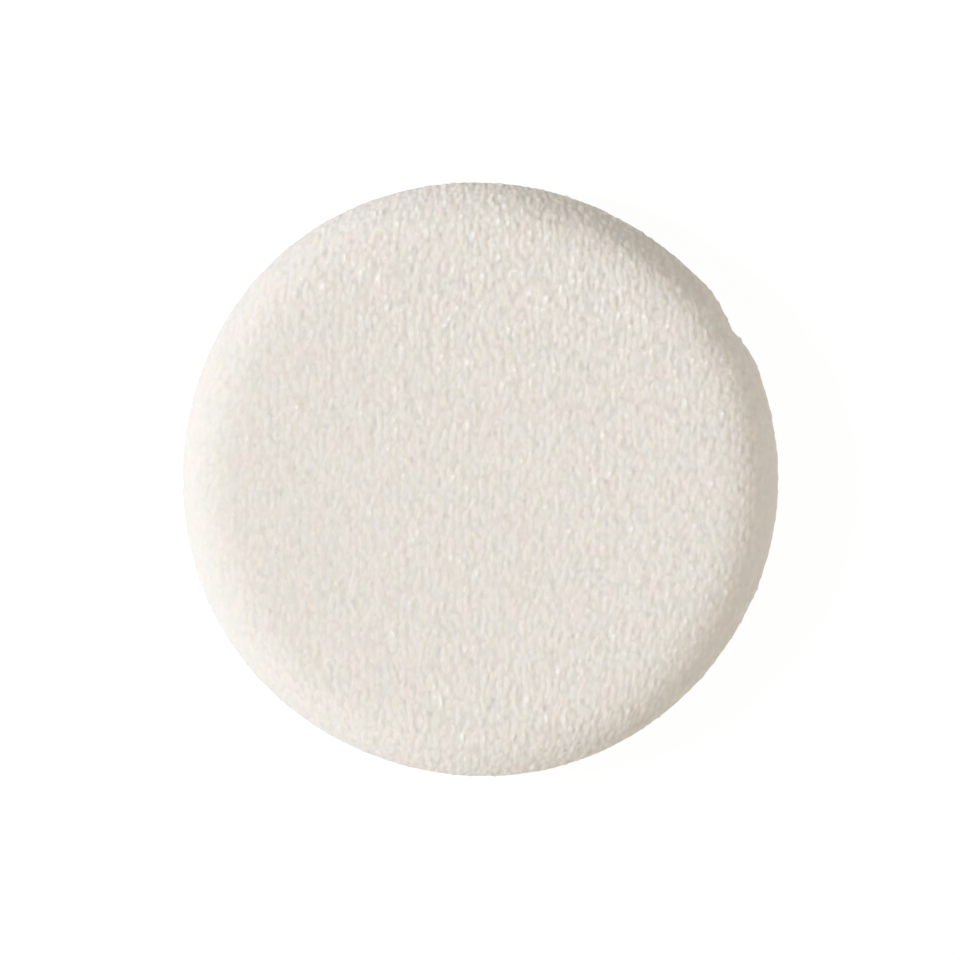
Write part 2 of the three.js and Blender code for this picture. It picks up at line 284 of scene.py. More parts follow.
# %% [markdown]
# ## Edge of a hand-turned puff
# The outline of the real puff is almost round. It wanders by a fraction of a millimetre, and where the
# turning gap was sewn up by hand the rim is notched, between two fuller shoulders. The rim falls away more
# steeply on the right, most of all beside the closing, where the sewing pulls the face down. Near the seam
# each stitch gathers the cloth a little. These are moves of the points after a subdivision, each of them a
# short formula of the angle.

# %% Turn the edge
# waves to the turn: size in millimetres, place in degrees
WANDER = {2: (0.14, -77), 3: (0.07, 11), 4: (0.06, 99), 5: (0.06, -22)}
CLOSING_ANGLE = 30.5
NOTCH_DEPTH, NOTCH_SPREAD = 0.78, 8.0
NOTCH_CURVE = 1.4  # the notch is straight on its upper side and curved by this power on its lower side
SHOULDER_HEIGHT, SHOULDER_SPREAD = 0.36, 14.0
EDGE_FADE = 8  # power of the radius, so that the moves stay at the rim
PULL_ANGLE, PULL_SPREAD = 60.0, 22.0
PULL, PULL_RIGHT = 0.5, 0.3  # share of its height that the rim loses, beside the closing and on the right
PULL_SIDE = (-0.3, 0.5)  # cosines of the angles where the pull on the right begins and is full
PULL_SHAPE = 4  # an even power: 2 gives a bell, 4 a bell with a flatter top
PULL_FADE = 20  # as EDGE_FADE, for the pull
STITCHES_PER_TURN = 40
GATHER_DEPTH, GATHER_REACH = 0.10, 1.6


def applied(piece):
    """The mesh that a piece's modifiers or its curve make."""
    return bpy.data.meshes.new_from_object(piece.evaluated_get(bpy.context.evaluated_depsgraph_get()))


def subdivided(disc, levels):
    """Replaces a piece's mesh by its smooth subdivision."""
    fine = disc.modifiers.new("fine", "SUBSURF")
    fine.levels = fine.render_levels = levels
    coarse = disc.data
    mesh = applied(disc)
    disc.modifiers.clear()
    disc.data = mesh
    mesh.name = coarse.name + "_fine"
    bpy.data.meshes.remove(coarse)


def smooth_step(low, high, value):
    """Rises softly from 0 at low to 1 at high, which may also lie below low."""
    share = np.clip((value - low) / (high - low), 0, 1)
    return share * share * (3 - 2 * share)


def at_closing(angle):
    """How far the rim stands out or in round the hand-sewn closing: two shoulders and a notch."""
    away = (np.degrees(angle) - CLOSING_ANGLE + 180) % 360 - 180
    shoulders = SHOULDER_HEIGHT * np.exp(-((away / SHOULDER_SPREAD) ** 2))
    nearness = np.maximum(1 - np.abs(away) / NOTCH_SPREAD, 0)
    return shoulders - NOTCH_DEPTH * nearness ** np.where(away > 0, 1, NOTCH_CURVE)


def turn_edge(disc):
    """Moves the rim from a true circle to the hand-turned outline."""
    points = points_of(disc.data)
    radius = np.hypot(points[:, 0], points[:, 1])
    angle = np.arctan2(points[:, 1], points[:, 0])
    move = sum(size * np.cos(count * angle - math.radians(place)) for count, (size, place) in WANDER.items())
    move = (move + at_closing(angle)) * (radius / PUFF_RADIUS) ** EDGE_FADE
    reach = np.exp(-(((points[:, 2] - SEAM_HEIGHT) / GATHER_REACH) ** 2))
    move = move - GATHER_DEPTH * reach * (1 + np.cos(STITCHES_PER_TURN * angle)) / 2
    pull = PULL * np.exp(-(((np.degrees(angle) - PULL_ANGLE) / PULL_SPREAD) ** PULL_SHAPE))
    pull = (pull + PULL_RIGHT * smooth_step(*PULL_SIDE, np.cos(angle))) * (radius / PUFF_RADIUS) ** PULL_FADE
    points[:, :2] *= (1 + move / np.maximum(radius, 1))[:, None]
    points[:, 2] -= pull * np.maximum(points[:, 2] - SEAM_HEIGHT, 0)
    move_points(disc.data, points)


for disc in (front, back):
    subdivided(disc, levels=2)
    turn_edge(disc)
    print(disc.name, len(disc.data.vertices), "points after the subdivision")

# %% [markdown]
# ## Room for the ribbon
# The ribbon lies flush in the back, so it presses a shallow channel into the pile, and at both ends it
# slips between the two covers at the seam. A smooth step across the ribbon's width gives the channel soft
# walls.

# %% Press the ribbon's channel
RIBBON_WIDTH = 19.0
RIBBON_THICKNESS = 0.35
RIBBON_INSET = 0.3  # how far the rim stands out beyond the ribbon
CHANNEL_WALL = 0.7  # width of its soft walls
CHANNEL_ROOM, SLIT_ROOM = 0.1, 0.05  # between the ribbon and the cloth, on the back and in the seam
SLIT_REACH = 0.5  # how far from the seam the covers give way to the ribbon


def under_ribbon(points):
    """1 under the ribbon, 0 away from it."""
    return 1 - smooth_step(RIBBON_WIDTH / 2, RIBBON_WIDTH / 2 + CHANNEL_WALL, np.abs(points[:, 1]))


def press_channel(disc, side, depth):
    """Presses a cover in under the ribbon, and opens the seam for the ribbon's ends."""
    points = points_of(disc.data)
    outward = outward_of(disc.data, side)
    share = under_ribbon(points)
    sideways = np.hypot(outward[:, 0], outward[:, 1])
    points -= outward * (share * (depth + (RIBBON_INSET * sideways if depth else 0)))[:, None]
    at_seam = np.exp(-(((points[:, 2] - SEAM_HEIGHT) / SLIT_REACH) ** 2))
    at_seam *= np.abs(points[:, 0]) > PUFF_RADIUS / 2
    points[:, 2] += side * share * at_seam * (RIBBON_THICKNESS / 2 + SLIT_ROOM)
    move_points(disc.data, points)


press_channel(front, 1, 0.0)
press_channel(back, -1, RIBBON_THICKNESS + CHANNEL_ROOM)
print("channel", RIBBON_WIDTH, "mm wide")

# %% [markdown]
# ## Pile
# Velour is knitted with loops that are then cut. The cut tips stand in tufts along the wales, about 0.94 mm
# apart here, and where tufts part or bunch up there are short streaks. A texture alone would look printed
# on from the side. So each tuft is a small drop-shaped mound, and each streak a narrower mound or dent, at
# a place that strays from a regular grid. The highest tuft counts at a point, which leaves fine creases
# between them, and streaks add up.

# %% Shape the tufts
WALE = 0.94  # distance of the rows of tufts
# distance across and along, width and length in millimetres; stray is a share of the distance, lean a slope
TUFTS = {
    "pitch": (WALE, 1.0),
    "wide": (0.32, 0.5),
    "long": (0.45, 1.0),
    "stray": (0.23, 0.24),
    "lean": 0.12,
}
STREAKS = {
    "pitch": (WALE / 2, 0.5),
    "wide": (0.16, 0.29),
    "long": (0.15, 0.5),
    "stray": (0.27, 0.3),
    "lean": 0.1,
}
TUFT_HEIGHTS, TUFT_ROUNDNESS = (0.4, 1), 0.8
TUFT_TABLE, STREAK_TABLE = (120, 120), (240, 280)  # at least as many as the marks in each grid
TUFT_SHARE = 0.5
NAP_LEAN = 0.08  # the tufts lean a little to the right
DROP = (0.8, 1.1)  # a mark reaches less far ahead than behind
CLOTH_SPAN = 100  # a grid of marks is a little wider than a cut disc


def marks(cut, random, pitch, wide, long, stray, lean):
    """Goes through the marks of a strayed grid near each place: their numbers, and how far off they are."""
    count = tuple(int(CLOTH_SPAN / size) for size in pitch)
    aside, ahead = random.normal(0, stray[0], count), random.normal(0, stray[1], count)
    wide, long = random.uniform(*wide, count), random.uniform(*long, count)
    lean, start = random.normal(-NAP_LEAN, lean, count), random.uniform(0, 1, count[0])
    place = cut[:, 0] / pitch[0] + count[0] / 2
    for beside in (-1, 0, 1):
        row = np.floor(place).astype(int) + beside
        along = cut[:, 1] / pitch[1] + count[1] / 2 + start[row]
        for before in (-2, -1, 0, 1, 2):
            mark = row, np.floor(along).astype(int) + before
            across_mm = (place - row - 0.5 - aside[mark]) * pitch[0]
            along_mm = (along - mark[1] - 0.5 - ahead[mark]) * pitch[1]
            reach = np.where(along_mm > 0, *DROP) * long[mark]
            yield mark, ((across_mm + lean[mark] * along_mm) / wide[mark]) ** 2 + (along_mm / reach) ** 2


def evened(values):
    """The same values with a mean of 0 and a spread of 1."""
    return (values - values.mean()) / values.std()


def pile_relief(cut, seed):
    """Height of the pile at places on the cut cloth: 0 on average, with a spread of 1."""
    random = np.random.default_rng(seed)
    tall = random.uniform(*TUFT_HEIGHTS, TUFT_TABLE)
    tufts = np.zeros(len(cut))
    for mark, off in marks(cut, random, **TUFTS):
        tufts = np.maximum(tufts, tall[mark] * np.maximum(1 - off, 0) ** TUFT_ROUNDNESS)
    tall = random.normal(0, 1, STREAK_TABLE)
    streaks = np.zeros(len(cut))
    for mark, off in marks(cut, random, **STREAKS):
        streaks += tall[mark] * np.exp(-off)
    return evened(TUFT_SHARE * evened(tufts) + (1 - TUFT_SHARE) * evened(streaks))


print(f"{CLOTH_SPAN / WALE:.0f} rows of tufts, {WALE} mm apart")

# %% [markdown]
# ### How the pile stands
# The pile doesn't stand the same everywhere. It lies flatter on the left, opens towards the top and the
# bottom, is calm on the shoulders at both sides, and stands higher on the wall, where the bend of the cloth
# parts it. Under the ribbon and on the fullest line of the rim it is rubbed flat.

# %% Raise the pile
PILE_RELIEF = 0.0215  # spread of the relief
# pairs of slopes, from 0 on the flat to 1 on the upright wall, between which a change begins and is full
SHOULDER, SHOULDER_END, WALL, FULLEST, RIM = (0.05, 0.3), (0.8, 0.5), (0.6, 0.75), (0.75, 0.95), (0.12, 0.35)
SHOULDER_CALM = 0.6
WALL_PILE = 0.9
FULLEST_PILE = 0.15  # share of the relief that is left on the fullest line
SEAM_FADE, RIBBON_FADE = 0.6, 0.9  # the pile rises within this of the seam, and later by this at the ribbon
PRESSED = 0.75
STAND = 0.92  # in the middle of the face
STAND_RIGHT, STAND_UP = 0.28, 0.22  # added towards the right and the top
STAND_ENDS, STAND_SIDES = 0.5, 0.1  # added at the top and the bottom, taken away at both sides
CONTACT = (0.4, 0.0)  # heights between which the pile sinks to the surface that the puff lies on
HIGH_TIP = 2.2  # in spreads of the relief: there the pile is sunk so far that only its tips touch
PAINTED_RIM_SHADE = {57: 3.5, -42: 2.0}  # painted shade on the rim: where, in degrees, and how far it lowers the pile attribute, in spreads
RIM_SHADE_NARROWNESS = 6


def raise_pile(disc, side, seed):
    """Moves a cover's points by the pile, and keeps its height with painted rim shade as an attribute."""
    points = points_of(disc.data)
    outward = outward_of(disc.data, side)
    cut = vectors_of(disc.data.attributes["cut"].data, "vector")
    out = np.hypot(points[:, 0], points[:, 1])
    turned = 1 - np.abs(outward[:, 2])
    shoulder = smooth_step(*SHOULDER, turned) * smooth_step(*SHOULDER_END, turned)
    stand = 1 - SHOULDER_CALM * shoulder * (points[:, 0] / np.maximum(out, 1)) ** 2
    stand *= smooth_step(0, SEAM_FADE + RIBBON_FADE * under_ribbon(points), cut[:, 2])
    x, y = points[:, 0] / PUFF_RADIUS, points[:, 1] / PUFF_RADIUS
    stand *= STAND + STAND_RIGHT * x + STAND_UP * y + STAND_ENDS * y**2 - STAND_SIDES * x**2
    if side < 0:
        stand *= 1 - PRESSED * under_ribbon(points)
    relief = pile_relief(cut, seed) * stand
    sunk = HIGH_TIP * smooth_step(*CONTACT, points[:, 2])
    height = relief * (1 + WALL_PILE * smooth_step(*WALL, turned))
    height *= 1 - (1 - FULLEST_PILE) * smooth_step(*FULLEST, turned)
    points += outward * ((height - sunk) * PILE_RELIEF)[:, None]
    points[:, 2] = np.maximum(points[:, 2], 0)
    move_points(disc.data, points)
    angle = np.arctan2(points[:, 1], points[:, 0])
    # painted shade: round these angles the pile attribute is lowered on the rim, which darkens the colour
    # there
    rim_shade = np.zeros(len(points))
    for at, darkness in PAINTED_RIM_SHADE.items():
        rim_shade += darkness * np.maximum(np.cos(angle - math.radians(at)), 0) ** RIM_SHADE_NARROWNESS
    keep_values(disc.data, "pile", relief - rim_shade * smooth_step(*RIM, turned))
    print(f"{disc.name}: relief from {relief.min():.2f} to {relief.max():.2f}")


raise_pile(front, 1, seed=11)
raise_pile(back, -1, seed=12)

# %% [markdown]
# ## Turning in the seam allowance
# Inside the puff the cut edge of each disc lies flat along the seam, and the back of the knit faces the
# foam. The open edge of the disc is extruded ring by ring along that section and closed in the middle, so
# that the cover is one closed piece with a real thickness. The rings carry their own material, the plain
# back of the knit.

# %% Close the covers
SEAM_GAP = 0.3  # between the two allowances
ALLOWANCE_EDGE = FORM_RADIUS - ALLOWANCE
LINING_ANGLES = (74, 60, 45, 25, 0)  # where the rings of the lining lie on the roll of the rim
LINING_MIDDLE = 15.0  # radius of the last ring, which one face closes


def lining_rings(side, rise):
    """Radius and height of the rings inside a cover, from the seam to the middle of the lining."""
    near, far = SEAM_GAP / 2, SEAM_GAP / 2 + ALLOWANCE_THICKNESS
    rings = [(ALLOWANCE_EDGE, near), (ALLOWANCE_EDGE, far)]
    for degrees in LINING_ANGLES:
        inside = FORM_RADIUS - VELOUR - (RIM_ROLL - VELOUR) * (1 - math.sin(math.radians(degrees)))
        rings.append((inside, max(far, (rise - VELOUR) * math.cos(math.radians(degrees)))))
    rings.append((LINING_MIDDLE, rise - VELOUR))
    return [(radius, max(SEAM_HEIGHT + side * up, VELOUR)) for radius, up in rings]


def close_cover(disc, side, rise):
    """Adds the seam allowance and the lining, and closes the cover."""
    cover = bmesh.new()
    cover.from_mesh(disc.data)
    edge = [e for e in cover.edges if e.is_boundary]
    for radius, height in lining_rings(side, rise):
        made = bmesh.ops.extrude_edge_only(cover, edges=edge)["geom"]
        for vert in (v for v in made if isinstance(v, bmesh.types.BMVert)):
            vert.co.xy *= radius * MM / vert.co.xy.length
            vert.co.z = height * MM
        for face in (f for f in made if isinstance(f, bmesh.types.BMFace)):
            face.material_index = 1
        edge = [e for e in made if isinstance(e, bmesh.types.BMEdge) and e.is_boundary]
    middle = bmesh.ops.holes_fill(cover, edges=edge, sides=0)["faces"]
    for face in middle:
        face.material_index = 1
    bmesh.ops.recalc_face_normals(cover, faces=cover.faces)
    for face in cover.faces:
        face.smooth = True
    still_open = sum(e.is_boundary for e in cover.edges)
    cover.to_mesh(disc.data)
    cover.free()
    print(f"{disc.name}: {len(disc.data.loop_triangles)} triangles, {still_open} open edges")


close_cover(front, 1, FRONT_RISE)
close_cover(back, -1, BACK_RISE)

# %% [markdown]
# ## Foam core
# The filling is a die-cut disc of pale open-cell foam, with a groove in its edge where the seam allowances
# press in. A spin of its section in fine steps gives the disc, and a displacement by a cell texture opens
# the pores at its surface, which nobody sees until the cover is opened.

# %% Foam core
FIT = 0.3  # room between the foam and the covers
GROOVE_HALF = 1.87
FOAM_STEPS, FOAM_RIM_POINTS, FOAM_FACE_POINTS = 180, 9, 26
FOAM_MIDDLE = 0.4  # radius of the small hole that is filled after the spin
CELL, PORE_DEPTH = 1.1, 0.35  # size and depth of a pore


def foam_section():
    """Radius and height of the foam's section, from the middle of the back to the middle of the face."""
    depth = VELOUR + FIT
    half = []
    for side, rise, crown in ((-1, BACK_RISE, 0), (1, FRONT_RISE, FRONT_CROWN)):
        lip = math.acos(GROOVE_HALF / (rise - depth))
        roll = np.linspace(0, lip, FOAM_RIM_POINTS)
        radius = FORM_RADIUS - depth - (RIM_ROLL - depth) * (1 - np.sin(roll))
        height = SEAM_HEIGHT + side * (rise - depth) * np.cos(roll)
        inner = np.linspace(FOAM_MIDDLE, radius[0], FOAM_FACE_POINTS)[:-1]
        level = SEAM_HEIGHT + side * (rise - depth + crown * (1 - (inner / radius[0]) ** 2))
        line = np.column_stack([np.concatenate([inner, radius]), np.concatenate([level, height])])
        line[:, 1] = np.maximum(line[:, 1], depth)
        groove = [(ALLOWANCE_EDGE - FIT, SEAM_HEIGHT + side * GROOVE_HALF)]
        half.append(np.vstack([line, groove]))
    return np.vstack([half[0], half[1][::-1]])


core = bmesh.new()
line = [core.verts.new((radius * MM, 0, height * MM)) for radius, height in foam_section()]
edges = [core.edges.new(pair) for pair in zip(line, line[1:])]
upright = {"cent": (0, 0, 0), "axis": (0, 0, 1)}
bmesh.ops.spin(core, geom=line + edges, **upright, angle=2 * math.pi, steps=FOAM_STEPS, use_merge=True)
bmesh.ops.holes_fill(core, edges=[e for e in core.edges if e.is_boundary], sides=0)
bmesh.ops.recalc_face_normals(core, faces=core.faces)
foam = linked("foam_core_open_cell", as_mesh("foam_core_open_cell", core))
cells = bpy.data.textures.new("open_cells", "VORONOI")
cells.noise_scale = CELL * MM
pores = foam.modifiers.new("pores", "DISPLACE")
pores.texture, pores.texture_coords = cells, "LOCAL"
pores.strength, pores.mid_level = PORE_DEPTH * MM, 1.0
foam.data = applied(foam)
foam.modifiers.clear()
foam.data.shade_smooth()
print("foam:", len(foam.data.polygons), "faces")

# %% [markdown]
# ## Satin ribbon
# The finger ribbon is one flat band that comes out of the seam, follows the rim, crosses the back and goes
# into the seam again. It is drawn in two halves that meet in the middle, each of which ends in the seam. A
# grid is laid along the same line as in the CAD source and given its thickness by Solidify.

# %% Ribbon
RIBBON_TURN = 1.2  # how far below the seam the ribbon turns in
RIBBON_CELLS = (96, 24)
RIBBON_RIM_POINTS, RIBBON_TURN_POINTS = 40, 20
RIBBON_ROUNDING = 4  # power of x: the band follows the round rim at its end and is straight in the middle
RIBBON_THINNER = 0.05  # than the CAD ribbon, so that the pile stays clear of it


def ribbon_line():
    """Middle of the ribbon's thickness from the middle of the back to its sewn end: x and height."""
    half = RIBBON_THICKNESS / 2
    first, last = math.acos(SEAM_HEIGHT / BACK_RISE), math.acos(RIBBON_TURN / BACK_RISE)
    roll = np.linspace(first, last, RIBBON_RIM_POINTS)
    x = FORM_RADIUS - RIM_ROLL * (1 - np.sin(roll)) - drawn_in(BACK_RISE * np.cos(roll))
    z = SEAM_HEIGHT - BACK_RISE * np.cos(roll)
    along = np.gradient(np.column_stack([x, z]), axis=0)
    along /= np.linalg.norm(along, axis=1)[:, None]
    x, z = x - along[:, 1] * (half + RIBBON_INSET), np.maximum(z + along[:, 0] * half, half)
    entry = np.array([FORM_RADIUS - SEAM_PINCH - RIBBON_INSET - half, SEAM_HEIGHT])
    inner = entry - [RIBBON_TURN, 0]
    t = np.linspace(0, 1, RIBBON_TURN_POINTS)[1:, None]
    bend = (1 - t) ** 2 * [x[-1], z[-1]] + 2 * t * (1 - t) * entry + t**2 * inner
    return np.vstack([[0, half], np.column_stack([x, z]), bend, [ALLOWANCE_EDGE, SEAM_HEIGHT]])


def ribbon_half(name, side):
    """Half of the ribbon, and its length from the middle to the sewn end."""
    mesh = grid_mesh(name, RIBBON_CELLS)
    share, across, _ = points_of(mesh).T
    path = ribbon_line()
    run = np.concatenate([[0], np.cumsum(np.linalg.norm(np.diff(path, axis=0), axis=1))])
    along = (share + 1) / 2 * run[-1]
    x, z = np.interp(along, run, path[:, 0]), np.interp(along, run, path[:, 1])
    y = across * RIBBON_WIDTH / 2
    rim = path[:, 0].max()
    x = x - (rim - np.sqrt(rim**2 - y**2)) * (np.minimum(x, rim) / rim) ** RIBBON_ROUNDING
    keep_values(mesh, "weave", np.column_stack([along, y, np.zeros(len(y))]))
    move_points(mesh, np.column_stack([side * x, y, z]))
    half = linked(name, mesh)
    wall = half.modifiers.new("thickness", "SOLIDIFY")
    wall.thickness, wall.offset = (RIBBON_THICKNESS - RIBBON_THINNER) * MM, 0
    half.data = applied(half)
    half.modifiers.clear()
    tidy = bmesh.new()
    tidy.from_mesh(half.data)
    bmesh.ops.recalc_face_normals(tidy, faces=tidy.faces)
    for face in tidy.faces:
        face.smooth = True
        if all(abs(vert.co.x) < 0.01 * MM for vert in face.verts):
            for edge in face.edges:  # a sharp end, so that the two halves shade as one band
                edge.smooth = False
    tidy.to_mesh(half.data)
    tidy.free()
    print(f"{name}: {run[-1]:.1f} mm from the middle to the sewn end")
    return half, run[-1]


ribbon_right, ribbon_length = ribbon_half("satin_ribbon_right", 1)
ribbon_left, _ = ribbon_half("satin_ribbon_left", -1)

# %% [markdown]
# ## Threads
# Spun sewing thread is two or three plies twisted together. A plain tube would show none of that, so a
# curve is swept with a three-lobed section that turns as it goes along, and the lobes become the plies.

# %% Twisted thread
THREAD = 0.3
PLIES, PLY_DEPTH, PLY_POINTS = 3, 0.14, 12
PLY_TURN = 2.4  # length in which the plies turn once
THREAD_STEPS = 6  # from one point of a path to the next


def ply_section():
    """A closed three-lobed curve, the section of a three-ply thread."""
    curve = bpy.data.curves.new("plies", "CURVE")
    curve.dimensions = "2D"
    spline = curve.splines.new("POLY")
    spline.points.add(PLY_POINTS - 1)
    spline.use_cyclic_u = True
    for i, point in enumerate(spline.points):
        angle = 2 * math.pi * i / PLY_POINTS
        radius = THREAD / 2 * (1 - PLY_DEPTH + PLY_DEPTH * math.cos(PLIES * angle))
        point.co = (radius * math.cos(angle) * MM, radius * math.sin(angle) * MM, 0, 1)
    return linked("plies", curve)


def twisted(name, path):
    """A twisted thread along a smooth line through the points of a path, as a mesh."""
    curve = bpy.data.curves.new(name, "CURVE")
    curve.dimensions = "3D"
    curve.resolution_u = THREAD_STEPS
    curve.use_fill_caps = True
    spline = curve.splines.new("BEZIER")
    spline.bezier_points.add(len(path) - 1)
    path = np.array(path)
    run = np.concatenate([[0], np.cumsum(np.linalg.norm(np.diff(path, axis=0), axis=1))])
    for knot, place, gone in zip(spline.bezier_points, path, run):
        knot.co = place * MM
        knot.handle_left_type = knot.handle_right_type = "AUTO"
        knot.tilt = 2 * math.pi * gone / PLY_TURN
    sweep = linked(name + "_line", curve)
    plies = ply_section()
    curve.bevel_mode, curve.bevel_object = "OBJECT", plies
    mesh = applied(sweep)
    for helper in (sweep, plies):
        data = helper.data
        bpy.data.objects.remove(helper)
        bpy.data.curves.remove(data)
    mesh.shade_smooth()
    thread = linked(name, mesh)
    print(f"{name}: {run[-1]:.0f} mm of thread, {len(mesh.polygons)} faces")
    return thread


print(f"thread of {THREAD} mm, {PLIES} plies that turn once in {PLY_TURN} mm")

# %% [markdown]
# ### Machine seam
# The seam runs inside the puff, along both seam allowances, and leaves the turning gap free. Its needle
# thread lies on the front allowance and dips into the back one at each stitch, and its bobbin thread lies
# under the back one. Each path is a list of points made from the sizes in the CAD source, and the curve
# smooths it.

# %% Machine seam
THREAD_FIT = 0.12
SEAM_RADIUS = FORM_RADIUS - SEAM_PINCH
STITCH_INSET = 1.2
STITCH_RADIUS = SEAM_RADIUS - VELOUR - STITCH_INSET
THREAD_HEIGHT = SEAM_GAP / 2 + ALLOWANCE_THICKNESS + THREAD_FIT + THREAD / 2
NEEDLE_LOOP, LOOP_DROP = 0.9, ALLOWANCE_THICKNESS / 2
CLOSING_FROM, CLOSING_TO = 18.0, 54.0


def on_circle(radius, angle, up):
    """A point at a radius and an angle, at a height above the seam."""
    return radius * math.cos(angle), radius * math.sin(angle), SEAM_HEIGHT + up


def seam_paths():
    """Needle thread and bobbin thread of the machine seam, from the end of the closing round to its start."""
    sweep = 2 * math.pi / STITCHES_PER_TURN
    first = math.ceil(math.radians(CLOSING_TO) / sweep)
    after = math.floor(math.radians(CLOSING_FROM + 360) / sweep)
    loop, low = NEEDLE_LOOP / 2 / STITCH_RADIUS, -SEAM_GAP / 2
    needle, bobbin = [], []
    for i in range(first, after):
        angle = (i + 0.5) * sweep
        steps = [(-sweep / 2, THREAD_HEIGHT), (-loop, THREAD_HEIGHT), (-loop, low), (0, low - LOOP_DROP)]
        steps += [(loop, low), (loop, THREAD_HEIGHT)]
        needle += [on_circle(STITCH_RADIUS, angle + turn, up) for turn, up in steps]
        bobbin += [on_circle(STITCH_RADIUS, angle + turn, -THREAD_HEIGHT) for turn in (-sweep / 2, 0)]
    return needle, bobbin


needle_path, bobbin_path = seam_paths()
threads = {
    "seam_needle_thread": twisted("needle_thread_twisted", needle_path),
    "seam_bobbin_thread": twisted("bobbin_thread_twisted", bobbin_path),
}

# %% [markdown]
# ### Closing and bar tacks
# The turning gap is closed from outside with a whip stitch, a coil that winds round the seam, sunk into its
# groove, and follows the notch. A running stitch across each end of the ribbon tacks it between the
# allowances.

# %% Closing and bar tacks
CLOSING_STITCHES, CLOSING_REACH = 5, 1.35
WHIP_POINTS = 8  # on one whip stitch
TACK_INSET = 1.3
TACK_X, TACK_WIDTH, TACK_STITCHES = ALLOWANCE_EDGE + TACK_INSET, 9.0, 3


def closing_path():
    """The whip stitch that winds round the seam at the closing."""
    centre = SEAM_RADIUS + THREAD_FIT + THREAD / 2 - CLOSING_REACH
    margin = (CLOSING_TO - CLOSING_FROM) / CLOSING_STITCHES / 2
    path = []
    for share in np.linspace(0, 1, CLOSING_STITCHES * WHIP_POINTS + 1):
        angle = math.radians(CLOSING_FROM + margin + share * (CLOSING_TO - CLOSING_FROM - 2 * margin))
        turn = share * CLOSING_STITCHES * 2 * math.pi
        out = centre + CLOSING_REACH * math.cos(turn) + at_closing(angle)
        path.append(on_circle(out, angle, CLOSING_REACH * math.sin(turn)))
    return path


def tack_path(side):
    """The running stitch across one sewn end of the ribbon."""
    step = TACK_WIDTH / TACK_STITCHES
    path = []
    for i in range(TACK_STITCHES + 1):
        y, to = i * step - TACK_WIDTH / 2, THREAD_HEIGHT * (1 if i % 2 == 0 else -1)
        for ahead, up in ((0, -to), (0, to), (step / 2, to)):
            path.append((side * TACK_X, y + ahead, SEAM_HEIGHT + up))
    return path[:-1]


threads["closing_thread"] = twisted("closing_thread_twisted", closing_path())
threads["ribbon_tack_left"] = twisted("tack_left_twisted", tack_path(-1))
threads["ribbon_tack_right"] = twisted("tack_right_twisted", tack_path(1))

# %% [markdown]
# ## Finishes
# Every finish is built from nodes. One function turns a hex colour to the linear values that Blender's
# sockets take, and one adds a node with its settings and links. Patterns are scaled from real sizes in
# millimetres.

# %% Helpers for the finishes
def linear(hex_colour):
    """An sRGB hex colour as linear RGBA."""
    parts = [int(hex_colour[i : i + 2], 16) / 255 for i in (1, 3, 5)]
    return tuple(c / 12.92 if c <= 0.04045 else ((c + 0.055) / 1.055) ** 2.4 for c in parts) + (1.0,)


def add(tree, kind, settings={}, links={}):
    """Adds a node. Settings are properties or socket values by name, links say what feeds a socket."""
    made = tree.nodes.new("ShaderNode" + kind)
    for name, value in settings.items():
        if isinstance(name, str) and hasattr(made, name):
            setattr(made, name, value)
        else:
            made.inputs[name].default_value = value
    for name, source in links.items():
        tree.links.new(source, made.inputs[name])
    return made


def ramp(node, *stops):
    """Sets a colour ramp's stops: place and colour."""
    while len(node.color_ramp.elements) < len(stops):
        node.color_ramp.elements.new(1.0)
    for element, (place, colour) in zip(node.color_ramp.elements, stops):
        element.position, element.color = place, colour
    return node


def finish(name):
    """An empty node material."""
    print("finish:", name)
    material = bpy.data.materials.new(name)
    material.use_nodes = True
    material.node_tree.nodes.clear()
    return material, material.node_tree


def wear_skin(tree, shader):
    """Makes a shader the surface of its material."""
    add(tree, "OutputMaterial", links={"Surface": shader.outputs[0]})


# %% [markdown]
# ### Ivory cotton velour
# Cotton velour is matt, and light soaks into its pile, so the edge that turns away from the light stays soft.
# The shader scatters light a third of a millimetre deep and adds a weak sheen. Painted shade makes the
# creases a little darker than the tips and darkens two stretches of the rim, and a painted highlight lightens
# the highest tips. The dye takes unevenly, in faint pink, green and grey patches a few millimetres wide.
# Fibres are far thinner than a pixel, so they are drawn as streaks of 0.16 mm to show at all.

# %% Ivory cotton velour
FIBRE, PATCH = (0.16, 0.5), 3.2  # width and length of a streak of fibres, and size of a patch of dye
velour, tree = finish("ivory_cotton_velour_sheared_pile")
cut = add(tree, "Attribute", {"attribute_name": "cut"})
pile = add(tree, "Attribute", {"attribute_name": "pile"})
fibre_scale = (1 / FIBRE[0], 1 / FIBRE[1], 1)
stretch = add(tree, "Mapping", {"Scale": fibre_scale}, {"Vector": cut.outputs["Vector"]})
flat_noise = {"noise_dimensions": "2D", "Detail": 1.0}
fibres = add(tree, "TexNoise", flat_noise | {"Scale": 1.0}, {"Vector": stretch.outputs[0]})
patch_look = flat_noise | {"Scale": 1 / PATCH}
patches = add(tree, "TexNoise", patch_look, {"Vector": cut.outputs["Vector"]})
dye = ramp(
    add(tree, "ValToRGB", links={"Fac": patches.outputs["Fac"]}),
    (0.30, linear("#ede5de")),
    (0.45, linear("#ece6de")),
    (0.60, linear("#eae6dd")),
    (0.72, linear("#ebe6e0")),
)
# painted shade: the lower the pile attribute, the darker the colour, in the creases and on the shaded rim
crease_shade = add(
    tree,
    "MapRange",
    {"From Min": -4.0, "From Max": 0.7, "To Min": 0.845, "To Max": 1.0},
    {"Value": pile.outputs["Fac"]},
)
streaks = add(
    tree,
    "MapRange",
    {"From Min": 0.3, "From Max": 0.7, "To Min": 0.985, "To Max": 1.01},
    {"Value": fibres.outputs["Fac"]},
)
# painted crease shade times the fibre streaks
depth = add(tree, "Math", {"operation": "MULTIPLY"}, {0: crease_shade.outputs[0], 1: streaks.outputs[0]})
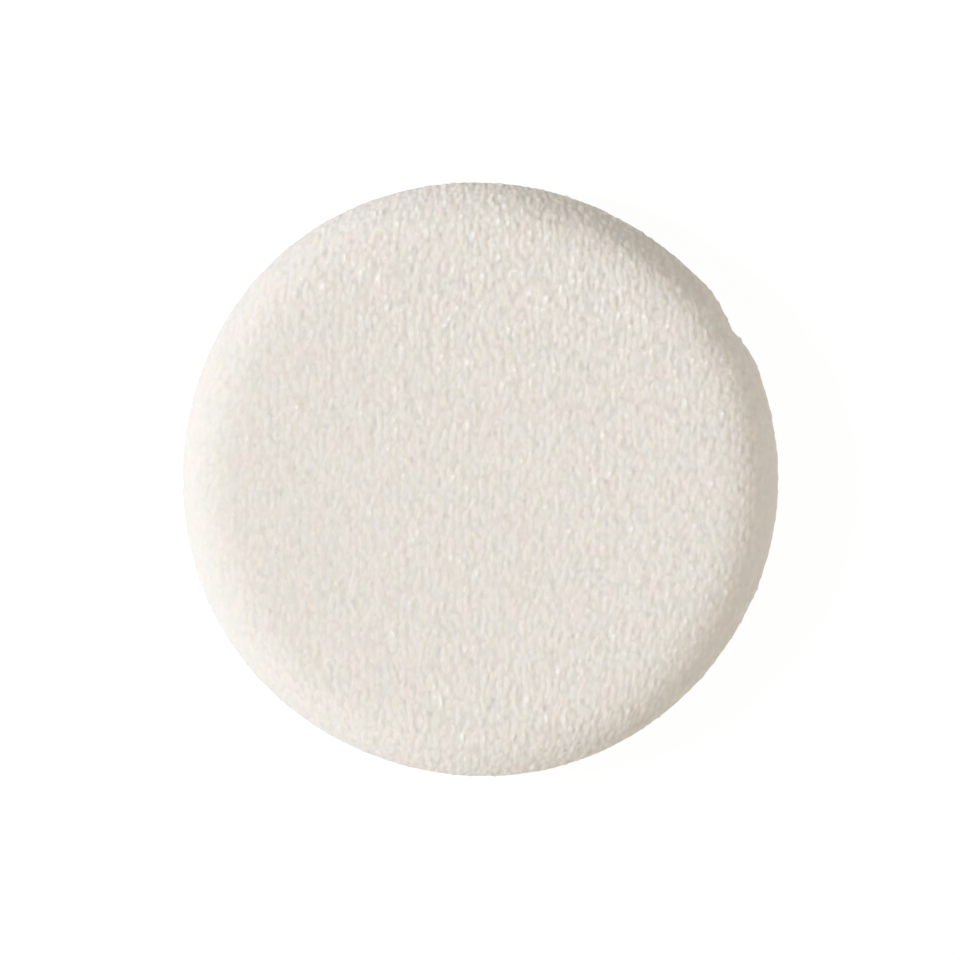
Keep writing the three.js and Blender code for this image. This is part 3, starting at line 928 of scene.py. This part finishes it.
shaded = add(
    tree, "VectorMath", {"operation": "SCALE"}, {0: dye.outputs["Color"], "Scale": depth.outputs[0]}
)
# painted highlight: the highest tips of the pile are lightened towards #faf7f2
tip_highlight = add(
    tree,
    "MapRange",
    {"From Min": 2.0, "From Max": 3.2, "To Max": 0.75},
    {"Value": pile.outputs["Fac"]},
)
# Mix node in colour mode: socket 0 is the share, 6 and 7 are the two colours, 7 the painted highlight
colour = add(
    tree,
    "Mix",
    {"data_type": "RGBA", 7: linear("#faf7f2")},
    {0: tip_highlight.outputs[0], 6: shaded.outputs[0]},
)
bump = add(tree, "Bump", {"Strength": 0.4, "Distance": 0.02 * MM}, {"Height": fibres.outputs["Fac"]})
skin = add(
    tree,
    "BsdfPrincipled",
    {
        "Roughness": 0.95,
        "Subsurface Weight": 0.6,
        "Subsurface Radius": (1.0, 0.85, 0.6),
        "Subsurface Scale": 0.33 * MM,
        "Sheen Weight": 0.12,
        "Sheen Roughness": 0.5,
        "Specular IOR Level": 0.2,
    },
    {"Base Color": colour.outputs[2], "Normal": bump.outputs[0]},
)
wear_skin(tree, skin)

# %% [markdown]
# ### Cotton jersey, the back of the velour
# The wrong side of the velour is a plain jersey knit, matt and a shade darker than the pile, with fine
# ribs. Only an opened puff would show it.

# %% Cotton jersey
WAVE_BAND = math.pi / 10  # a wave texture at scale 1 repeats after this many units


def wave_scale(spacing):
    """Scale of a wave texture whose bands lie this far apart."""
    return WAVE_BAND / spacing


def two_tone(name, kind, pattern, output, tones, relief, look):
    """A finish whose one pattern gives both its colour, between two tones, and its bumps."""
    material, tree = finish(name)
    place = add(tree, "TexCoord")
    value = add(tree, kind, pattern, {"Vector": place.outputs["Object"]}).outputs[output]
    tone = ramp(add(tree, "ValToRGB", links={"Fac": value}), *tones)
    bump = add(tree, "Bump", relief, {"Height": value})
    surface = {"Base Color": tone.outputs["Color"], "Normal": bump.outputs[0]}
    wear_skin(tree, add(tree, "BsdfPrincipled", look, surface))
    return material


jersey = two_tone(
    "cotton_jersey_knit_back",
    "TexWave",
    {"bands_direction": "X", "Scale": wave_scale(WALE * MM), "Distortion": 1.5, "Detail": 1.0},
    "Fac",
    [(0.0, linear("#d8d1c3")), (1.0, linear("#e6e0d4"))],
    {"Strength": 0.4, "Distance": 0.1 * MM},
    {"Roughness": 0.9, "Sheen Weight": 0.1},
)

# %% [markdown]
# ### Open-cell polyurethane foam
# Cut foam is matt and cream. Painted shade makes it darker inside its pores than on the struts between them.

# %% Open-cell foam
PIT = 0.6
# painted shade: the darker tone lies in the pores of a cell pattern, the lighter one on the struts
foam_finish = two_tone(
    "open_cell_polyurethane_foam",
    "TexVoronoi",
    {"Scale": 1 / (PIT * MM)},
    "Distance",
    [(0.1, linear("#d9cfb2")), (0.6, linear("#f3ecd8"))],
    {"Strength": 0.6, "Distance": 0.15 * MM},
    {"Roughness": 0.9},
)

# %% [markdown]
# ### Polyester satin
# Satin floats its warp threads along the ribbon, which gives a soft gloss across them, and its edges are
# woven tighter as a selvedge. Its threads are 0.1 mm apart on the real ribbon, too fine to show, so they
# are drawn at 0.3 mm, and so faintly that the band reads as smooth cloth from a distance.

# %% Polyester satin
FLOAT, PICK = (1.6, 0.3), 0.5  # length and width of a warp float, and distance of the selvedge picks
SELVEDGE, SELVEDGE_BLEND = 0.8, 0.1
satin, tree = finish("polyester_satin_ribbon")
weave = add(tree, "Attribute", {"attribute_name": "weave"})
parts = add(tree, "SeparateXYZ", links={"Vector": weave.outputs["Vector"]})
float_scale = (1 / FLOAT[0], 1 / FLOAT[1], 1)
floats = add(tree, "Mapping", {"Scale": float_scale}, {"Vector": weave.outputs["Vector"]})
warp = add(tree, "TexNoise", flat_noise | {"Scale": 1.0}, {"Vector": floats.outputs[0]})
out = add(tree, "Math", {"operation": "ABSOLUTE"}, {0: parts.outputs["Y"]})
inside = RIBBON_WIDTH / 2 - SELVEDGE
edge = add(
    tree,
    "MapRange",
    {"From Min": inside, "From Max": inside + SELVEDGE_BLEND},
    {"Value": out.outputs[0]},
)
picks = add(
    tree,
    "TexWave",
    {"bands_direction": "X", "Scale": wave_scale(PICK)},
    {"Vector": weave.outputs["Vector"]},
)
tone = ramp(
    add(tree, "ValToRGB", links={"Fac": warp.outputs["Fac"]}),
    (0.3, linear("#e9e4da")),
    (0.7, linear("#eeeae1")),
)
bound = add(
    tree,
    "Mix",
    {"data_type": "RGBA", 7: linear("#e5dfd4")},
    {0: edge.outputs[0], 6: tone.outputs["Color"]},
)
ridges = add(
    tree,
    "Mix",
    {"data_type": "FLOAT"},
    {0: edge.outputs[0], 2: warp.outputs["Fac"], 3: picks.outputs["Fac"]},
)
bump = add(tree, "Bump", {"Strength": 0.3, "Distance": 0.03 * MM}, {"Height": ridges.outputs[0]})
gloss = add(tree, "MapRange", {"To Min": 0.36, "To Max": 0.6}, {"Value": edge.outputs[0]})
skin = add(
    tree,
    "BsdfPrincipled",
    {"Anisotropic": 0.5, "Sheen Weight": 0.2, "Sheen Roughness": 0.3},
    {"Base Color": bound.outputs[2], "Roughness": gloss.outputs[0], "Normal": bump.outputs[0]},
)
wear_skin(tree, skin)

# %% [markdown]
# ### Spun cotton thread
# Sewing thread is matt with a faint lustre along its plies, and a touch lighter than the velour.

# %% Spun thread
HAIR = 0.08
thread_finish = two_tone(
    "spun_cotton_thread",
    "TexNoise",
    {"Scale": 1 / (HAIR * MM), "Detail": 2.0},
    "Fac",
    [(0.3, linear("#ddd6c8")), (0.7, linear("#efeadf"))],
    {"Strength": 0.3, "Distance": 0.03 * MM},
    {"Roughness": 0.7, "Sheen Weight": 0.2},
)

# %% [markdown]
# ## Putting the puff together
# Each piece gets its finish and replaces its CAD node, which is hidden. The covers, the foam and the threads
# ride on the puff's body.

# %% Finish and place the pieces
def dress(piece, slot, *finishes):
    """Gives a piece its finishes. The slot is not used."""
    for material in finishes:
        piece.data.materials.append(material)


for cover, node, fullness in ((front, "front_velour_cover", 0.8), (back, "back_velour_cover", 0.7)):
    dress(cover, "velour", velour, jersey)
    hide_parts(node)
    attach(cover, "puff")

dress(foam, "foam", foam_finish)
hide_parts("foam_core")
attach(foam, "puff")

for node, thread in threads.items():
    dress(thread, "sewing_thread", thread_finish)
    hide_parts(node)
    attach(thread, "puff")

for half, side in ((ribbon_right, 1), (ribbon_left, -1)):
    dress(half, "satin_ribbon", satin)
    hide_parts("ribbon_strap")
    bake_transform(half)
print("pieces placed:", len([front, back, foam, ribbon_right, ribbon_left, *threads]))

# %% [markdown]
# ## Light and world
# The photograph has soft light from the left over a bright surround, and a plain white ground. A wide sun
# from the left at a middle height lights the face at a slant, which brings out the pile and leaves the
# right rim in soft shade. The world fills the rest, a little brighter from the lower right, where white
# things throw light back. A weak sun from below meets only the underside.

# %% Light and world
KEY_FROM, KEY_HEIGHT, KEY_WIDTH = 177, 34, 10  # degrees round from +X, above the floor, and across
# shares of the light at which a colour renders as it is written
KEY_LEVEL, FILL_LEVEL, UNDER_LEVEL = 0.688, 0.595, 0.25
KEY_TINT, FILL_TINT = (0.94, 1.0, 1.11), (1.04, 1.0, 0.93)  # cool window, warm room
FILL_LEAN = (0.24, -0.14, 0.0)  # share by which the fill is brighter towards +X, +Y and +Z
UNDER_HEIGHT = -80  # in degrees, from almost straight below


def add_sun(name, level, tint, round_about, up):
    """A wide sun that shines from a direction given in degrees."""
    sun = bpy.data.lights.new(name, "SUN")
    sun.energy, sun.color, sun.angle = level * math.pi, tint, math.radians(KEY_WIDTH)
    lamp = linked(name, sun)
    round_about, up = math.radians(round_about), math.radians(up)
    towards = (math.cos(up) * math.cos(round_about), math.cos(up) * math.sin(round_about), math.sin(up))
    lamp.rotation_euler = Vector(towards).to_track_quat("Z", "Y").to_euler()


def seen_plainly(tree):
    """1 for a ray from the camera, and for one that a glossy or clear surface sends on."""
    ray = add(tree, "LightPath")
    seen = ray.outputs["Is Camera Ray"]
    for kind in ("Is Glossy Ray", "Is Transmission Ray"):
        either = add(tree, "Math", {"operation": "MAXIMUM"}, {0: seen, 1: ray.outputs[kind]})
        seen = either.outputs[0]
    return seen


add_sun("window_key", KEY_LEVEL, KEY_TINT, KEY_FROM, KEY_HEIGHT)
add_sun("light_from_below", UNDER_LEVEL, FILL_TINT, KEY_FROM, UNDER_HEIGHT)

world = bpy.data.worlds.new("white_surround")
world.use_nodes = True
bpy.context.scene.world = world
tree = world.node_tree
tree.nodes.clear()
seen = seen_plainly(tree)
sky = add(tree, "TexCoord")
# for a world, Generated is the direction that a ray goes in
lean = add(tree, "VectorMath", {"operation": "DOT_PRODUCT", 1: FILL_LEAN}, {0: sky.outputs["Generated"]})
level = add(
    tree,
    "Math",
    {"operation": "MULTIPLY_ADD", 1: FILL_LEVEL, 2: FILL_LEVEL},
    {0: lean.outputs["Value"]},
)
seen_level = add(tree, "Mix", {"data_type": "FLOAT", 3: 1.0}, {0: seen, 2: level.outputs[0]})
tint = add(tree, "Mix", {"data_type": "RGBA", 6: (*FILL_TINT, 1), 7: (1, 1, 1, 1)}, {0: seen})
light = {"Color": tint.outputs[2], "Strength": seen_level.outputs[0]}
surround = add(tree, "Background", links=light)
add(tree, "OutputWorld", links={"Surface": surround.outputs[0]})
print(f"key {KEY_LEVEL} from {KEY_FROM} degrees at {KEY_HEIGHT} degrees, fill {FILL_LEVEL}")

# %% [markdown]
# ## Floor
# The ground in the photograph is plain white. A lit sheet would come out grey beside the puff, so most of
# its white is its own, and the puff's soft shadow shows in the rest. Only the camera and mirror images see
# it, so that it throws no light on the puff. From below it is clear, and the back of the puff can be looked
# at too.

# %% Floor
GROUND_RADIUS, GROUND_SIDES = 2.0, 96  # radius in metres, and corners
GROUND_DROP = 0.05  # a gap under the puff, so that no two faces share a plane
GROUND_GLOW, GROUND_WHITE = 0.9, 1.04  # share of plain white over the lit paper, and its strength
paper, tree = finish("white_paper_ground")
side_seen = add(tree, "NewGeometry")
matt = add(tree, "BsdfDiffuse", {"Color": (0.9, 0.9, 0.9, 1)})
glow = add(tree, "Emission", {"Color": (1, 1, 1, 1), "Strength": GROUND_WHITE})
white = add(tree, "MixShader", {0: GROUND_GLOW}, {1: matt.outputs[0], 2: glow.outputs[0]})
clear = add(tree, "BsdfTransparent")
above = add(tree, "Math", {"operation": "SUBTRACT", 0: 1.0}, {1: side_seen.outputs["Backfacing"]})
shown = add(tree, "Math", {"operation": "MULTIPLY"}, {0: seen_plainly(tree), 1: above.outputs[0]})
sides = {0: shown.outputs[0], 1: clear.outputs[0], 2: white.outputs[0]}
ground = add(tree, "MixShader", links=sides)
wear_skin(tree, ground)

sheet = bmesh.new()
bmesh.ops.create_circle(sheet, cap_ends=True, segments=GROUND_SIDES, radius=GROUND_RADIUS)
ground_mesh = as_mesh("ground", sheet)
ground_mesh.transform(Matrix.Translation((0, 0, -GROUND_DROP * MM)))
ground_mesh.materials.append(paper)
floor = linked("ground", ground_mesh)
floor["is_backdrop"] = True
print(f"floor {GROUND_RADIUS * 2} m across")

# %% [markdown]
# ## Hand over
# The picture is shown as rendered, with the Standard view. The CAD model's box and the finished model's box
# are both printed, to see that the soft pieces haven't outgrown their solids.

# %% Hand over
bpy.context.scene.view_settings.view_transform = "Standard"
bpy.context.view_layer.update()
visual_box = [list(corner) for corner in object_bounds()]
print("visual box in mm:", [[round(x / MM, 2) for x in corner] for corner in visual_box])
